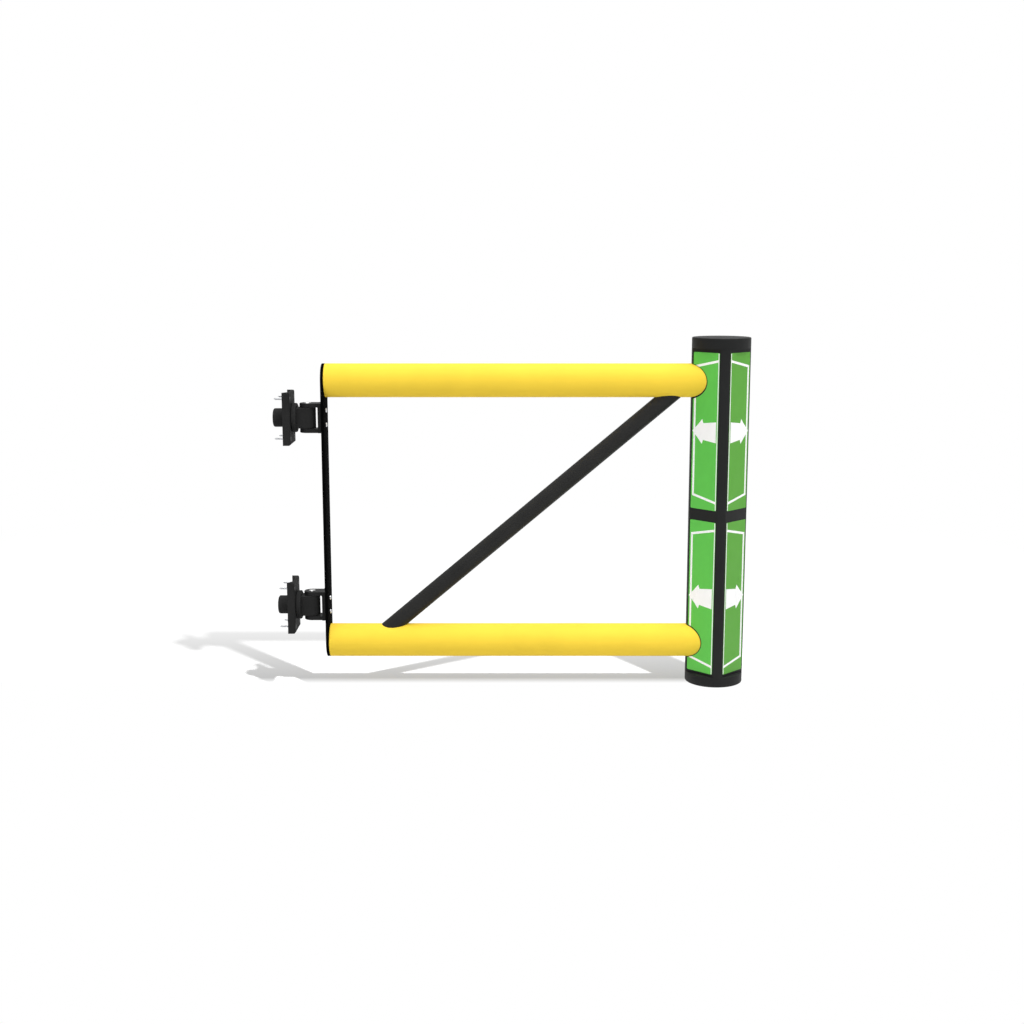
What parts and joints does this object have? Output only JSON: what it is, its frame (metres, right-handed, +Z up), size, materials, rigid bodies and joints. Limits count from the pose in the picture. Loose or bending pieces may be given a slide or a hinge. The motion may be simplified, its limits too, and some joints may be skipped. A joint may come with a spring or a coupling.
{
  "type": "safety railing gate",
  "caption": "Swinging gate leaf for a safety railing: polymer rails and brace between a hinge plate and a round end post with arrow signs, on pinned post brackets.",
  "frame": {"origin": "middle of the flat end of the lower bracket's plug", "axes": "+X along the closed leaf from the hinges to the end post, +Y from front to back, +Z up"},
  "size_m": [1.2719, 0.156, 0.942],
  "materials": {
    "yellow_polymer": "smooth yellow polymer with a soft sheen",
    "post_polymer": "satin black polymer",
    "brace_polymer": "satin black polymer tube",
    "bracket_polymer": "moulded black polymer",
    "plate_steel": "black powder coat",
    "clevis_steel": "black powder coat",
    "pin_steel": "turned steel",
    "zinc_screw": "bright zinc plate",
    "bush_polymer": "dark bearing polymer",
    "insert_polymer": "solid black polymer",
    "green_sign": "green sign plate with plain white arrows and lines"
  },
  "bodies": {
    "brackets": {"lower_bracket_plate": "bracket_polymer", "lower_bracket_plug": "bracket_polymer", "lower_bracket_screws": "zinc_screw", "lower_hinge_eye": "bracket_polymer", "lower_hinge_bushes": "bush_polymer", "upper_bracket_plate": "bracket_polymer", "upper_bracket_plug": "bracket_polymer", "upper_bracket_screws": "zinc_screw", "upper_hinge_eye": "bracket_polymer", "upper_hinge_bushes": "bush_polymer"},
    "leaf": {"back_left_lower_sign": "green_sign", "back_left_upper_sign": "green_sign", "back_right_lower_sign": "green_sign", "back_right_upper_sign": "green_sign", "bottom_rail": "yellow_polymer", "bottom_rail_insert": "insert_polymer", "bottom_rail_screws": "zinc_screw", "diagonal_brace": "brace_polymer", "end_post": "post_polymer", "front_left_lower_sign": "green_sign", "front_left_upper_sign": "green_sign", "front_right_lower_sign": "green_sign", "front_right_upper_sign": "green_sign", "hinge_plate": "plate_steel", "lower_clevis": "clevis_steel", "lower_clevis_bolts": "zinc_screw", "lower_hinge_pin": "pin_steel", "post_bottom_cap": "post_polymer", "post_top_cap": "post_polymer", "top_rail": "yellow_polymer", "top_rail_insert": "insert_polymer", "top_rail_screws": "zinc_screw", "upper_clevis": "clevis_steel", "upper_clevis_bolts": "zinc_screw", "upper_hinge_pin": "pin_steel"}
  },
  "joints": [
    {"name": "gate_swing", "type": "hinge", "parent": "brackets", "child": "leaf", "pos_m": [0.0915, 0, 0], "axis": [0, 0, 1], "range_deg": [-80, 80]}
  ]
}
